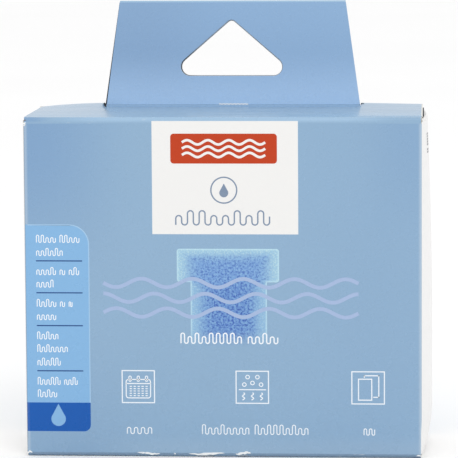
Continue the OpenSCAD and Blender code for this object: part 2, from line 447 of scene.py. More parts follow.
# One entry for each look, by the short names that the pieces use
M = dict(
    base=make_print(),
    lid=make_lid(),
    tab=make_tab(),
    # Paler fold colours paint a highlight on the tab's top fold and the lid's front fold
    fold=make_folded("print_blue_fold_highlight", FOLD_HIGHLIGHT_RGB, 0.2),
    front_fold=make_folded("print_blue_front_fold_highlight", FOLD_HIGHLIGHT_RGB, 0.2, fades=True),
    crease=ink("print_blue_crease", (140, 173, 206), vary=0.04, rough=0.7, coat=0.0),
    # A darker fold colour paints shade on the bottom's front fold
    base_fold=make_folded("print_blue_base_fold_shade", (118, 144, 170), 0.5),
    side=ink("print_white_side", (232, 231, 230), vary=0.012, rough=0.32),
    label=ink("print_label_white", WHITE_RGB, vary=0.012, rough=0.33),
    red=ink("print_red", (187, 62, 26), vary=0.05, rough=0.35, coat=0.0, specular=0.2),
    # Grey ink for the side's small print, also used as painted shade in the upper left corner's gap
    mark=ink("print_mark_grey_and_corner_shade", (112, 114, 120), vary=0.05),
    grey=ink("print_grey", (118, 136, 160), vary=0.04),
    tag=ink("print_light_blue", TAG_RGB, vary=0.03),
    tag_dark=ink("print_dark_blue", TAG_DARK_RGB, vary=0.05, coat=0.0, specular=0.3),
    tag_rim=ink("print_tag_rim", (158, 194, 224), vary=0.03),
    divider=ink("print_divider_blue", (14, 64, 126), vary=0.04, coat=0.0, specular=0.3),
    text=ink("print_text_white", (236, 240, 244), vary=0.02),
    gap=make_gap(),
    shade=ink("fold_shade", (44, 48, 56), vary=0.05, rough=0.8, coat=0.0),
    fibre=ink("torn_fibre", (236, 238, 238), vary=0.05, rough=0.85, coat=0.0),
    wave=ink("print_lavender", (158, 178, 212), vary=0.03),
    raw=make_raw(),
    edge=make_edge(),
    foam=make_foam(),
    glue=make_glue(),
    picture=make_picture(),
)


# -------- mesh helpers
def add_object(name, verts, faces, mats, indices):
    """A mesh object from points in millimetres. indices gives each face's place in mats."""
    mesh = bpy.data.meshes.new(name)
    mesh.from_pydata([tuple(c * MM for c in v) for v in verts], [], faces)
    for m in mats:
        mesh.materials.append(M[m])
    mesh.polygons.foreach_set("material_index", indices)
    bm = bmesh.new()
    bm.from_mesh(mesh)
    bmesh.ops.recalc_face_normals(bm, faces=bm.faces)
    bm.to_mesh(mesh)
    bm.free()
    mesh.polygons.foreach_set("use_smooth", [True] * len(mesh.polygons))
    mesh.set_sharp_from_angle(angle=math.radians(32))
    obj = bpy.data.objects.new(name, mesh)
    bpy.context.collection.objects.link(obj)
    return obj


def belongs(obj, body, slot, *nodes):
    """The piece rides on a body and stands for the CAD nodes named, which it hides. The slot is not used."""
    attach(obj, body)
    if nodes:
        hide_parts(*nodes)
    return obj


# A piece's outer face, inner face and rim, by their looks
PRINTED = ("base", "raw", "edge")
WHITE = ("side", "raw", "edge")


def all_over(look):
    return (look, look, look)


def board(name, points, outward, mats=PRINTED, thick=BOARD):
    """A sheet of board from a grid of points on its outer face; outward gives the outer side."""
    p = np.asarray(points, float)
    nu, nv = p.shape[:2]
    n = np.cross(np.gradient(p, axis=0), np.gradient(p, axis=1))
    n /= np.linalg.norm(n, axis=2, keepdims=True)
    ref = outward(p) if callable(outward) else np.broadcast_to(np.asarray(outward, float), p.shape)
    n *= np.sign(np.sum(n * ref, axis=2, keepdims=True))
    inside = p - n * thick
    verts = np.concatenate([p.reshape(-1, 3), inside.reshape(-1, 3)])

    def at(i, j, layer):
        return layer * nu * nv + i * nv + j

    faces, index = [], []
    for i in range(nu - 1):
        for j in range(nv - 1):
            for layer in (0, 1):
                corners = ((i, j), (i + 1, j), (i + 1, j + 1), (i, j + 1))
                faces.append([at(a, b, layer) for a, b in corners])
                index.append(layer)
    rim = [(i, 0) for i in range(nu)] + [(nu - 1, j) for j in range(1, nv)]
    rim += [(i, nv - 1) for i in range(nu - 2, -1, -1)] + [(0, j) for j in range(nv - 2, 0, -1)]
    for (a, b), (c, d) in zip(rim, rim[1:] + rim[:1]):
        faces.append([at(a, b, 0), at(c, d, 0), at(c, d, 1), at(a, b, 1)])
        index.append(2)
    return add_object(name, verts, faces, mats, index)


def plate(name, shapes, place, near, far, mats=PRINTED):
    """Flat shapes between two levels. Each is an outline, or a tuple of an outline and its holes.
    place turns a point of a shape and a level to x, y, z."""
    verts, faces, index = [], [], []
    for shape in shapes:
        outline, holes = shape if isinstance(shape, tuple) else (shape, [])
        loops = [outline, *holes]
        points = [pt for loop in loops for pt in loop]
        start, count = len(verts), len(points)
        for level in (near, far):
            verts += [place(x, y, level) for x, y in points]
        for a, b, c in tessellate_polygon([[Vector((x, y, 0)) for x, y in loop] for loop in loops]):
            for side in (0, 1):
                first = start + side * count
                faces.append([first + a, first + b, first + c])
                index.append(side)
        offset = start
        for loop in loops:
            for i in range(len(loop)):
                a, b = offset + i, offset + (i + 1) % len(loop)
                faces.append([a, b, b + count, a + count])
                index.append(2)
            offset += len(loop)
    return add_object(name, verts, faces, mats, index)


def upright(x, z, y):
    """Places a shape drawn in x and z, its levels along y."""
    return (x, y, z)


def sideways(y, z, x):
    """Places a shape drawn in y and z, its levels along x."""
    return (x, y, z)


def flat(x, y, z):
    """Places a shape drawn in x and y, its levels along z."""
    return (x, y, z)


def on_front(x, z, level):
    return (x + PRINT_SHIFT, -HALF_D - level, z)


def printed(name, shapes, look, layer=1):
    """Ink on the front panel. Each layer stands a hundredth of a millimetre above the last."""
    obj = plate(name, shapes, on_front, 0.012 * layer, -0.05, all_over(look))
    return belongs(obj, "carton", "printed_board")


# -------- 2-D shapes
def arc(cx, cy, r, a0, a1, n):
    """n steps round a circle, from angle a0 to a1 in degrees."""
    angles = [math.radians(a0 + (a1 - a0) * i / n) for i in range(n + 1)]
    return [(cx + r * math.cos(a), cy + r * math.sin(a)) for a in angles]


def circle(cx, cy, r):
    return arc(cx, cy, r, 0, 360, 40)[:-1]


def box2(x0, y0, x1, y1, r=0.0, radii=None):
    """A rectangle, its corners rounded in the order lower left, lower right, upper right, upper left."""
    r0, r1, r2, r3 = radii or (r, r, r, r)
    corners = (
        (x0 + r0, y0 + r0, r0, 180),
        (x1 - r1, y0 + r1, r1, 270),
        (x1 - r2, y1 - r2, r2, 0),
        (x0 + r3, y1 - r3, r3, 90),
    )
    pts = []
    for cx, cy, radius, start in corners:
        pts += arc(cx, cy, radius, start, start + 90, 8) if radius > 0 else [(cx, cy)]
    return pts


def ring(cx, cy, r, line):
    return (circle(cx, cy, r), [circle(cx, cy, r - line)])


def frame_box(x0, y0, x1, y1, line, r=0.0):
    hole = box2(x0 + line, y0 + line, x1 - line, y1 - line, max(r - line, 0))
    return (box2(x0, y0, x1, y1, r), [hole])


def stroke(path, width):
    """A line of even width along a path, as one outline."""
    p = np.asarray(path, float)
    d = np.gradient(p, axis=0)
    d /= np.linalg.norm(d, axis=1, keepdims=True)
    side = np.stack([-d[:, 1], d[:, 0]], axis=1) * width / 2
    return [tuple(v) for v in (p + side)] + [tuple(v) for v in (p - side)[::-1]]


def wave(x0, x1, z, height, turns, width, n=120, phase=0.0):
    """A sine wave as a line of even width, in n steps; the phase is a part of one turn."""
    path = []
    for i in range(n + 1):
        angle = 2 * math.pi * (turns * i / n + phase)
        path.append((x0 + (x1 - x0) * i / n, z + height / 2 * math.sin(angle)))
    return stroke(path, width)


def drop(cx, cz, r):
    """A water drop with its point up."""
    pts = arc(cx, cz, r, -220, 40, 28)
    return pts + [(cx, cz + 2.1 * r)]


def scribble(x0, x1, z, height, seed, gaps, step, line):
    """A line of text shown as looping strokes that spell nothing. gaps are the word gaps, 0 to 1."""
    rng = random.Random(seed)
    cuts = [x0] + [x0 + (x1 - x0) * g for g in gaps] + [x1]
    shapes = []
    for a, b in zip(cuts, cuts[1:]):
        a, b = a + (step if a > x0 else 0), b - (step if b < x1 else 0)
        count = max(2, round((b - a) / step))
        r = (b - a) / count / 2
        path = [(a, z)]
        for i in range(count):
            cx = a + (2 * i + 1) * r
            if i % 2:
                path += arc(cx, z + r, r, -180, 0, 8)
            else:
                path += arc(cx, z + height * rng.choice((0.66, 0.66, 1.0)) - r, r, 180, 0, 8)
        path.append((b, z if count % 2 else z + height * 0.6))
        shapes.append(stroke(path, line))
    return shapes


# -------- the sleeve
def bulge_height(z):
    """How the loose side panel bows out, 0 to 1, from its foot to its top."""
    foot_run, fall_start, fall_run, fall = 14.0, 45.0, 58.0, 0.58
    low = np.clip(z / foot_run, 0, 1)
    rise = np.sin(low * np.pi / 2) ** 0.8
    return rise * (1 - fall * np.clip((z - fall_start) / fall_run, 0, 1) ** 1.5)


def bulge(y, z, amount):
    """The bow at a place on the side panel: none at its two vertical folds, most between them."""
    across = np.cos(np.pi * np.clip(y / (2 * HALF_D), -0.5, 0.5)) ** 1.3
    return amount * bulge_height(z) * across


def outward_from_middle(points):
    return points - np.array([0.0, 0.0, HEIGHT / 2])


def corner(cx, cy, sx, sy, a0, a1, n=5):
    """Points round a vertical fold, from angle a0 to a1: 0 faces front or back, 90 faces the side."""
    pts = []
    for i in range(n + 1):
        a = math.radians(a0 + (a1 - a0) * i / n)
        pts.append((cx + sx * CORNER_R * math.sin(a), cy + sy * CORNER_R * math.cos(a)))
    return pts


def upright_grid(plan, zs):
    return np.array([[(x, y, z) for z in zs] for x, y in plan], float)


def wall(node, grid, slot="printed_board", mats=PRINTED):
    """One panel of the sleeve, from a grid of points on its outer face."""
    obj = board(node.replace("_panel", "_board"), grid, outward_from_middle, mats)
    return belongs(obj, "carton", slot, node)


CX, CY = HALF_W - CORNER_R, HALF_D - CORNER_R
SEAM_X = HALF_W - BOARD - FILM
SEAM_CX = SEAM_X - CORNER_R
front_flat = [(x, -HALF_D) for x in np.linspace(-CX, CX, 41)[1:-1]]
front_plan = corner(-CX, -CY, -1, -1, 45, 0) + front_flat + corner(CX, -CY, 1, -1, 0, 45)
front_zs = np.linspace(BASE_FOLD_R, HEIGHT - FRONT_FOLD_R - FRONT_FOLD_BAND, 36)
wall("front_panel", upright_grid(front_plan, front_zs))

back_flat = [(x, HALF_D) for x in np.linspace(-CX, SEAM_CX, 41)[1:-1]]
back_plan = corner(-CX, CY, -1, 1, 45, 0) + back_flat + corner(SEAM_CX, CY, 1, 1, 0, 45)
wall("back_panel", upright_grid(back_plan, np.linspace(0.2, HEIGHT + 0.1, 36)))

GLUE_END, GLUE_FOOT, GLUE_TAPER = 6.0, 3.0, 6.0
glue_flat = [(SEAM_X, y) for y in np.linspace(CY, GLUE_END, 14)[1:]]
glue_plan = corner(SEAM_CX, CY, 1, 1, 45, 90) + glue_flat


def taper_glue(grid):
    """The glue flap's top and bottom edges close in, away from the back."""
    depth = np.clip((HALF_D - grid[..., 1]) / (HALF_D - GLUE_END), 0, 1)
    low = GLUE_FOOT + GLUE_TAPER * depth
    t = (grid[..., 2] - GLUE_FOOT) / (HEIGHT - 2 * GLUE_FOOT)
    grid[..., 2] = low + t * (HEIGHT - 2 * low)
    return grid


glue_grid = taper_glue(upright_grid(glue_plan, np.linspace(GLUE_FOOT, HEIGHT - GLUE_FOOT, 30)))
glue_obj = board("glue_flap_board", glue_grid, (1, 0.2, 0), ("raw", "raw", "edge"))
belongs(glue_obj, "carton", "raw_board", "glue_flap")

side_zs = np.linspace(DUST_DROP + SIDE_FOLD_R, DUST_Z - SIDE_FOLD_R, 44)
for s, node in ((1, "right_side_panel"), (-1, "left_side_panel")):
    side_flat = [(s * HALF_W, y) for y in np.linspace(-CY, CY if s < 0 else HALF_D - 0.05, 31)[1:]]
    plan = corner(s * CX, -CY, s, -1, 45, 90) + side_flat
    if s < 0:
        plan += corner(s * CX, CY, s, 1, 90, 45)[1:]
    grid = upright_grid(plan, side_zs)
    grid[..., 0] += s * bulge(grid[..., 1], grid[..., 2], SIDE_BULGE[s])
    wall(node, grid, "white_board", WHITE)


# -------- folds
def bend(obj, bodies, start, end, slot="printed_board"):
    """The piece's place is baked into its mesh; it follows no body. bodies, start and end are not used."""
    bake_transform(obj)


def mirror_z(p, at_bottom):
    """A point of the top closure, or its mirror image in the bottom closure."""
    return (p[0], p[1], HEIGHT - p[2]) if at_bottom else p


FOLD_HALF = 59.5


def front_fold(at_bottom):
    """The fold between the front panel and the lid or the bottom, with a flat band below the lid's."""
    r = BASE_FOLD_R if at_bottom else FRONT_FOLD_R
    zc = HEIGHT - r
    xs = np.linspace(-FOLD_HALF, FOLD_HALF, 90)
    rows = []
    if not at_bottom:
        rows.append([(x, -HALF_D, zc - FRONT_FOLD_BAND) for x in xs])
    for i in range(9):
        a = math.radians(90 * i / 8)
        y, z = -HALF_D + r - r * math.cos(a), zc + r * math.sin(a)
        rows.append([mirror_z((x, y, z), at_bottom) for x in xs])
    name, body = ("bottom_front_fold", "bottom") if at_bottom else ("lid_front_fold", "lid")
    # The lid's fold has a painted highlight, the bottom's fold painted shade
    look = "base_fold" if at_bottom else "front_fold"
    obj = board(name, rows, (0, -1, -1 if at_bottom else 1), (look, "raw", "edge"))
    start, end = (0, -HALF_D, zc), (0, -HALF_D + r, HEIGHT)
    bend(obj, ("carton", body), mirror_z(start, at_bottom), mirror_z(end, at_bottom))


DUST_FRONT, DUST_REAR, DUST_LEN = -18.4, 17.4, 38.0
DUST_TIP_R, REAR_TAPER = 3.0, 3.2
FRONT_SLOPE = math.tan(math.radians(28))


def dust_edges(s):
    """Front and rear edge of a dust flap at a distance s in from its fold, with a rounded tip."""
    front = DUST_FRONT + s * FRONT_SLOPE
    rear = DUST_REAR - REAR_TAPER * s / DUST_LEN
    left = DUST_LEN - s
    if left < DUST_TIP_R:
        cut = DUST_TIP_R - math.sqrt(max(0.0, DUST_TIP_R ** 2 - (DUST_TIP_R - left) ** 2))
        front, rear = front + cut, rear - cut
    return front, rear


def dust(side, at_bottom):
    """A dust flap and the fold that joins it to a side panel, which bows a little at that edge too."""
    tag = ("bottom" if at_bottom else "top") + "_dust_" + ("right" if side > 0 else "left")
    z_edge = DUST_DROP if at_bottom else DUST_Z
    facing = -1 if at_bottom else 1
    r = SIDE_FOLD_R

    def point(inward, y, z, kept=1.0):
        lean = float(bulge(np.array(y), np.array(z_edge), SIDE_BULGE[side]))
        return mirror_z((side * (HALF_W + lean * kept - inward), y, z), at_bottom)

    rows = []
    for i in range(7):
        a = math.radians(90 * i / 6)
        inward, z = r - r * math.cos(a), DUST_Z - r + r * math.sin(a)
        rows.append([point(inward, y, z) for y in np.linspace(DUST_FRONT, DUST_REAR, 24)])
    obj = board(tag + "_fold", rows, (side, 0, facing), WHITE)
    start, end = (side * HALF_W, 0, DUST_Z - r), (side * (HALF_W - r), 0, DUST_Z)
    bend(obj, ("carton", tag), mirror_z(start, at_bottom), mirror_z(end, at_bottom), "white_board")

    tip = DUST_LEN - DUST_TIP_R
    tip_steps = tip + DUST_TIP_R * np.sin(np.linspace(0, np.pi / 2, 8))[1:]
    grid = []
    for s in np.concatenate([np.linspace(r, tip, 20), tip_steps]):
        front, rear = dust_edges(min(s, DUST_LEN - 0.02))
        kept = max(0.0, 1 - s / DUST_LEN) ** 2
        grid.append([point(s, front + (rear - front) * v, DUST_Z, kept) for v in np.linspace(0, 1, 16)])
    obj = board(tag + "_flap", grid, (0, 0, facing), WHITE)
    belongs(obj, tag, "white_board", tag.replace("_dust_", "_dust_flap_"))


for bottom in (False, True):
    front_fold(bottom)
    for side in (1, -1):
        dust(side, bottom)


# -------- lid, tab and tuck flaps
LID_HALF, LID_BACK, LID_TAPER = 59.7, 19.3, 0.6
# The lid is cut back for the tab: half widths at the left and right, and where the cut ends
NOTCH_LEFT, NOTCH_RIGHT = 39.5, 40.6
NOTCH_Y = TAB_Y - TAB_R - TAB_FOLD_R


def notch_end(x):
    return NOTCH_LEFT if x < 0 else NOTCH_RIGHT


def lid_lift(x, y):
    """The lid isn't pressed quite flat: its two wings beside the tab stand up, least at the left corner."""
    t = np.clip((y + HALF_D) / (2 * HALF_D), 0, 1) ** 1.4
    width = 0.7 + 14 * max(0.0, 0.85 - t)
    wing = np.clip((abs(x) - notch_end(x)) / width + 1, 0, 1) ** 2
    middle = 1.1 * LID_LIFT
    left = np.clip((x + HALF_W) / 22.0, 0, 1)
    right = 1 - 0.3 * np.clip((x - 40.0) / 20.0, 0, 1)
    return (middle + (WING_LIFT - middle) * wing) * t * left * (2 - left) * right


def lid_columns(notch):
    """Places across one half of the lid: closer near the notch's end, with one just each side of it."""
    step, near, wing = 0.02, 3.0, 44.0
    return np.concatenate([
        np.linspace(0, notch - near, 22),
        np.linspace(notch - near, notch - step, 10)[1:],
        np.linspace(notch + step, wing, 9),
        np.linspace(wing, LID_HALF, 13)[1:],
    ])


def lid_sheet():
    """The lid's outer face, cut back for the tab and a little narrower at its back."""
    grid = []
    for x in np.concatenate([-lid_columns(NOTCH_LEFT)[:0:-1], lid_columns(NOTCH_RIGHT)]):
        notch = notch_end(x)
        back = NOTCH_Y if abs(x) < notch else LID_BACK
        taper = LID_TAPER * max(0.0, abs(x) - notch) / (LID_HALF - notch)
        row = []
        for y in np.linspace(-HALF_D + FRONT_FOLD_R, back, 24):
            t = (y + HALF_D) / (2 * HALF_D)
            row.append((x - math.copysign(taper * t, x), y, HEIGHT + lid_lift(x, y)))
        grid.append(row)
    return grid


lid_obj = board("lid_board", lid_sheet(), (0, 0, 1), ("lid", "raw", "edge"))
belongs(lid_obj, "lid", "printed_board", "lid_panel")
bottom_outline = box2(-LID_HALF, -HALF_D + BASE_FOLD_R, LID_HALF, LID_BACK)
bottom_obj = plate("bottom_board", [bottom_outline], flat, 0, BOARD)
belongs(bottom_obj, "bottom", "printed_board", "bottom_panel")

TAB_FRONT, TAB_BACK = TAB_Y - TAB_R, TAB_Y + TAB_R
# The tuck flaps are in line with the tab's rear ply
REAR_PLY = (TAB_BACK, TAB_Y + FILM / 2)
TUCK_HALF, TUCK_LEN, TUCK_R = 56.0, 11.7, 7
TUCK_TOP = HEIGHT - 0.85
for body in ("top_tuck", "bottom_tuck"):
    outline = box2(-TUCK_HALF, TUCK_TOP - TUCK_LEN, TUCK_HALF, TUCK_TOP, radii=(TUCK_R, TUCK_R, 0, 0))
    if body == "bottom_tuck":
        outline = [(x, HEIGHT - z) for x, z in outline]
    obj = plate(body + "_board", [outline], upright, *REAR_PLY)
    belongs(obj, body, "printed_board", body + "_flap")


def tab_edge(z, side):
    """The tab's left or right edge at a height; the tab narrows upwards."""
    return TAB_SHIFT + side * (TAB_BASE + (TAB_TOP - TAB_BASE) * (z - HEIGHT) / TAB_H)


HOLE_SLOPE, HOLE_HALF, HOLE_RISE = 41, 20.65, 9.7
HOLE_FOOT_R, HOLE_PEAK_R = 2.9, 1.7


def hang_hole(shift, rise, tighter):
    """The triangular hole with rounded corners, as a loop. It can be moved and drawn in all round."""
    slope = math.radians(HOLE_SLOPE)
    base = HOLE_HALF - tighter / math.tan(slope / 2)
    foot_r, peak_r = HOLE_FOOT_R - tighter, HOLE_PEAK_R - tighter
    z0 = HEIGHT + HOLE_RISE + rise + tighter
    inset = foot_r / math.tan(slope / 2)
    pts = arc(-base + inset, z0 + foot_r, foot_r, 90 + HOLE_SLOPE, 270, 12)
    pts += arc(base - inset, z0 + foot_r, foot_r, -90, 90 - HOLE_SLOPE, 12)
    peak = z0 + base * math.tan(slope) - peak_r / math.cos(slope)
    pts += arc(0, peak, peak_r, 90 - HOLE_SLOPE, 90 + HOLE_SLOPE, 10)
    return [(x + shift, z) for x, z in pts]


TAB_FOOT, TAB_HEAD = HEIGHT + LID_LIFT + TAB_FOLD_R, HEIGHT + TAB_H - TAB_R
REAR_SHIFT = -0.45


def tab_ply(name, node, foot, levels, dx, hole, mats):
    """One ply of the tab, moved by dx at its foot and by a fifth of that at its head."""
    foot_ends = [(tab_edge(foot, side) + dx, foot) for side in (-1, 1)]
    head_ends = [(tab_edge(TAB_HEAD, side) + dx * 0.2, TAB_HEAD) for side in (1, -1)]
    obj = plate(name, [(foot_ends + head_ends, [hang_hole(*hole)])], upright, *levels, mats)
    belongs(obj, "tab", "printed_board", node)


tab_ply("tab_front_board", "tab_front_ply", TAB_FOOT, (TAB_FRONT, TAB_Y - FILM / 2), 0.0,
        (0.4, 0, 0), ("tab", "raw", "edge"))
tab_ply("tab_rear_board", "tab_rear_ply", HEIGHT + TAB_R, REAR_PLY, REAR_SHIFT,
        (0.44, -0.12, 0.28), ("tab", "gap", "gap"))


def outward_from_head(points):
    return (points - np.array([0, TAB_Y, TAB_HEAD])) * np.array([0, 1, 1])


# The tab's top fold, its paler ink a painted highlight
rows = []
for i in range(13):
    a = math.radians(180 * i / 12)
    y, z = TAB_Y - TAB_R * math.cos(a), TAB_HEAD + TAB_R * math.sin(a)
    rows.append([(x, y, z) for x in np.linspace(TAB_SHIFT - TAB_TOP, TAB_SHIFT + TAB_TOP, 60)])
belongs(board("tab_top_fold", rows, outward_from_head, ("fold", "raw", "edge")), "tab", "printed_board")


def base_fold_z(x, a):
    """Height of the front ply's base fold, which starts on the lid and ends upright."""
    start = HEIGHT + lid_lift(x, NOTCH_Y)
    return start + (TAB_FOOT - start) * (1 - math.cos(a))


rows = []
for i in range(7):
    a = math.radians(90 * i / 6)
    xs = np.linspace(TAB_SHIFT - TAB_BASE, TAB_SHIFT + TAB_BASE, 60)
    rows.append([(x, NOTCH_Y + TAB_FOLD_R * math.sin(a), base_fold_z(x, a)) for x in xs])
BASE_BEND = (("lid", "tab"), (0, NOTCH_Y, HEIGHT + LID_LIFT), (0, TAB_FRONT, TAB_FOOT))
CREASE = ("crease", "raw", "edge")
bend(board("tab_base_fold", rows, (0, -1, 1), CREASE), *BASE_BEND)

# Behind the lid, in the slit: the strip that joins the top tuck flap to the rear ply, and its crease
REAR_LEFT, REAR_RIGHT = TAB_SHIFT - TAB_BASE + REAR_SHIFT, TAB_SHIFT + TAB_BASE + REAR_SHIFT
REAR_FOOT, REAR_CREASE = HEIGHT - 0.95, HEIGHT - 0.1
rear = box2(REAR_LEFT, REAR_FOOT, REAR_RIGHT, REAR_CREASE)
belongs(plate("tuck_to_tab_board", [rear], upright, *REAR_PLY), "lid", "printed_board")
xs = np.linspace(REAR_LEFT, REAR_RIGHT, 40)
rows = [[(x, TAB_BACK, z) for x in xs] for z in np.linspace(REAR_CREASE, HEIGHT + TAB_R + 0.02, 7)]
rear_obj = board("tab_rear_fold", rows, (0, 1, 0), CREASE)
bend(rear_obj, ("lid", "tab"), (0, TAB_BACK, HEIGHT - 0.05), (0, TAB_BACK, HEIGHT + TAB_R))

# Painted shade: small dark plates at the two ends of the tab's base, in the slit's relief cuts
relief_shades = [
    [(-39.9, 104.0), (-39.2, 104.5), (-38.8, 104.1), (-38.8, 103.1), (-39.3, 103.3)],
    [(40.3, 103.7), (40.35, 104.35), (41.3, 104.3), (41.1, 103.8)],
]
relief_y = NOTCH_Y + 0.5
relief_shade_obj = plate("tab_relief_cut_shade", relief_shades, upright, relief_y, relief_y + 0.12, all_over("shade"))
bend(relief_shade_obj, *BASE_BEND)

# Adhesive: two strips between the tab's plies, and one in the seam of the sleeve
FILM_HALF = 0.035
for s, node in ((-1, "tab_adhesive_left"), (1, "tab_adhesive_right")):
    strip = box2(min(s * 22, s * 30), HEIGHT + 5, max(s * 22, s * 30), HEIGHT + 25, 1.5)
    near, far = TAB_Y - FILM_HALF, TAB_Y + FILM_HALF
    obj = plate(node + "_strip", [strip], upright, near, far, all_over("glue"))
    belongs(obj, "tab", "adhesive", node)
seam = box2(8.5, 12, 17.5, HEIGHT - 12, 1.5)
seam_x = SEAM_X + 0.005
obj = plate("seam_adhesive_strip", [seam], sideways, seam_x, seam_x + 2 * FILM_HALF, all_over("glue"))
belongs(obj, "carton", "adhesive", "seam_adhesive")

# The ink is rubbed to white along a short stretch of the tab's base
scuff = [(-3.6 + 9 * i / 30, TAB_FOOT + 0.04 + 0.06 * math.sin(i * 1.7)) for i in range(31)]
scuff_shape = [stroke(scuff, 0.34)]
near, far = TAB_FRONT - 0.04, TAB_FRONT + 0.1
scuff_obj = plate("tab_fold_scuff", scuff_shape, upright, near, far, all_over("fibre"))
belongs(scuff_obj, "tab", "printed_board")

# The lid's cut right edge, and a dark plate of painted shade in the gap between it and the right side panel
rim_ys = np.linspace(-HALF_D + 4.0, LID_BACK, 22)
lid_rim = []
for dx in (-0.12, 0.25):
    rim_xs = LID_HALF - LID_TAPER * (rim_ys + HALF_D) / (2 * HALF_D) + dx
    lid_rim.append([(x, y, HEIGHT + 0.02 + lid_lift(LID_HALF, y)) for x, y in zip(rim_xs, rim_ys)])
belongs(board("lid_cut_edge", lid_rim, (0, 0, 1), all_over("edge"), 0.3), "lid", "white_board")
side_gap = [[(59.95, -12.0), (60.3, -12.0), (59.75, 15.6), (59.4, 15.6)]]
side_shade_obj = plate("lid_side_gap_shade", side_gap, flat, HEIGHT - 0.3, HEIGHT + 0.03, all_over("shade"))
belongs(side_shade_obj, "lid", "white_board")


def flake(x0, x1, z, height, seed):
    """A torn sliver of the board's white face, thin at both ends."""
    rng = random.Random(seed)
    top, low = [], []
    for i in range(13):
        t = i / 12
        x = x0 + (x1 - x0) * t
        body = math.sin(math.pi * t) ** 0.6
        lean = 0.25 * height * math.sin(5 * t + seed)
        top.append((x, z + lean + height * body * rng.uniform(0.25, 0.6)))
        low.append((x, z + lean - height * body * rng.uniform(0.15, 0.5)))
    return top + low[::-1][1:-1]


# Where the board shows along the base fold and at the upper left corner, and painted shade below two flakes
# and in the corner's gap: ends, height, size and seed
base_flakes = (
    (-26.8, -19.7, 1.0, 0.75, 1), (-15.6, -15.0, 1.0, 0.5, 2), (-11.1, -0.1, 1.0, 0.85, 3),
    (3.0, 7.8, 1.15, 1.0, 4), (-60.2, -58.7, 1.1, 0.8, 5), (57.6, 59.4, 0.75, 0.5, 6),
)
flake_shadow_places = ((-8.4, -3.6, 0.35, 0.4, 7), (4.0, 7.0, 0.55, 0.3, 8))
corner_flakes = ((-60.3, -59.5, 101.2, 0.9, 9), (-60.2, -59.6, 100.6, 0.5, 10))
corner_gap = ((-60.3, -59.4, 102.0, 0.6, 11),)
for name, places, near, far, look in (
    ("base_fold_flakes", base_flakes, 0.06, -0.3, "fibre"),
    ("base_fold_flake_shadows", flake_shadow_places, 0.0, -0.4, "gap"),
    ("upper_corner_flakes", corner_flakes, 0.02, -0.6, "fibre"),
    ("upper_corner_gap_shade", corner_gap, 0.02, -0.9, "mark"),
):
    slivers = [flake(*place) for place in places]
    belongs(plate(name, slivers, on_front, near, far, all_over(look)), "carton", "printed_board")


# -------- foam
BAR_HALF, STEM_HALF, FOAM_HALF = 50.0, 37.7, 16.5
FOAM_FOOT, FOAM_SHOULDER, FOAM_TOP = 1.35, 66.75, 99.35
# The cells stand out from the surface, so the block starts a little smaller than the CAD's
FOAM_INSET = 0.45


def t_outline():
    stem = [(STEM_HALF, FOAM_FOOT), (STEM_HALF, FOAM_SHOULDER)]
    right = stem + [(BAR_HALF, FOAM_SHOULDER), (BAR_HALF, FOAM_TOP)]
    return [(-STEM_HALF, FOAM_FOOT)] + right + [(-x, z) for x, z in right[:0:-1]]


def cell_depth(place):
    """How far the surface moves out, in millimetres: in at the pores, out along their walls."""
    near, far = noise.voronoi(place * 480)[0][:2]
    from_wall = far - near
    pores = -0.42 * min(1.0, from_wall / 0.5)
    walls = 0.2 * (1 - min(1.0, from_wall / 0.2))
    return min(pores + walls + 0.12 * noise.noise(place * 90), 0.4)


def make_foam_block():
    pts = []
    for x, z in t_outline():
        dz = -FOAM_INSET if z == FOAM_TOP else FOAM_INSET
        pts.append((x - math.copysign(FOAM_INSET, x), z + dz))
    half = FOAM_HALF - FOAM_INSET
    obj = plate("foam_block_cells", [pts], upright, -half, half, all_over("foam"))
    mod = obj.modifiers.new("remesh", "REMESH")
    mod.mode = "VOXEL"
    mod.voxel_size = 0.00068
    mesh = bpy.data.meshes.new_from_object(obj.evaluated_get(bpy.context.evaluated_depsgraph_get()))
    obj.modifiers.clear()
    plain = obj.data
    obj.data = mesh
    bpy.data.meshes.remove(plain)
    normals = np.zeros(len(mesh.vertices) * 3)
    mesh.vertices.foreach_get("normal", normals)
    for v, normal in zip(mesh.vertices, normals.reshape(-1, 3)):
        v.co += Vector(normal) * cell_depth(v.co) * MM
    mesh.materials.clear()
    mesh.materials.append(M["foam"])
    mesh.polygons.foreach_set("use_smooth", [True] * len(mesh.polygons))
    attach(obj, "sponge")
    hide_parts("foam_block")


make_foam_block()


# -------- print: the white label
printed("front_label", [box2(-21.6, 67.8, 22.3, 101.9)], "label")
printed("front_badge", [box2(-16.0, 89.1, 16.0, 98.1, 1.0)], "red", 2)
badge_waves = [wave(-12.5, 12.5, z, 1.3, 4, 0.75) for z in (91.7, 93.6, 95.5)]
printed("front_badge_waves", badge_waves, "label", 3)
printed("front_ring", [ring(0, 81.1, 4.1, 0.42), drop(0, 80.3, 1.35)], "grey", 2)
printed("front_word_line", scribble(-14.5, 13.7, 70.6, 4.3, 3, (), 1.75, 0.42), "grey", 2)


# -------- print: the picture of the foam
def picture_outline(r=0.8):
    """The T of the picture, the corners of its bar slightly rounded."""
    (left, right), (stem_left, stem_right) = PIC["bar"], PIC["stem"]
    foot, shoulder, top = PIC["foot"], PIC["shoulder"], PIC["top"]
    pts = [(stem_left, foot), (stem_right, foot), (stem_right, shoulder)]
    pts += arc(right - r, shoulder + r, r, -90, 0, 6) + arc(right - r, top - r, r, 0, 90, 6)
    pts += arc(left + r, top - r, r, 90, 180, 6) + arc(left + r, shoulder + r, r, 180, 270, 6)
    return pts + [(stem_left, shoulder)]


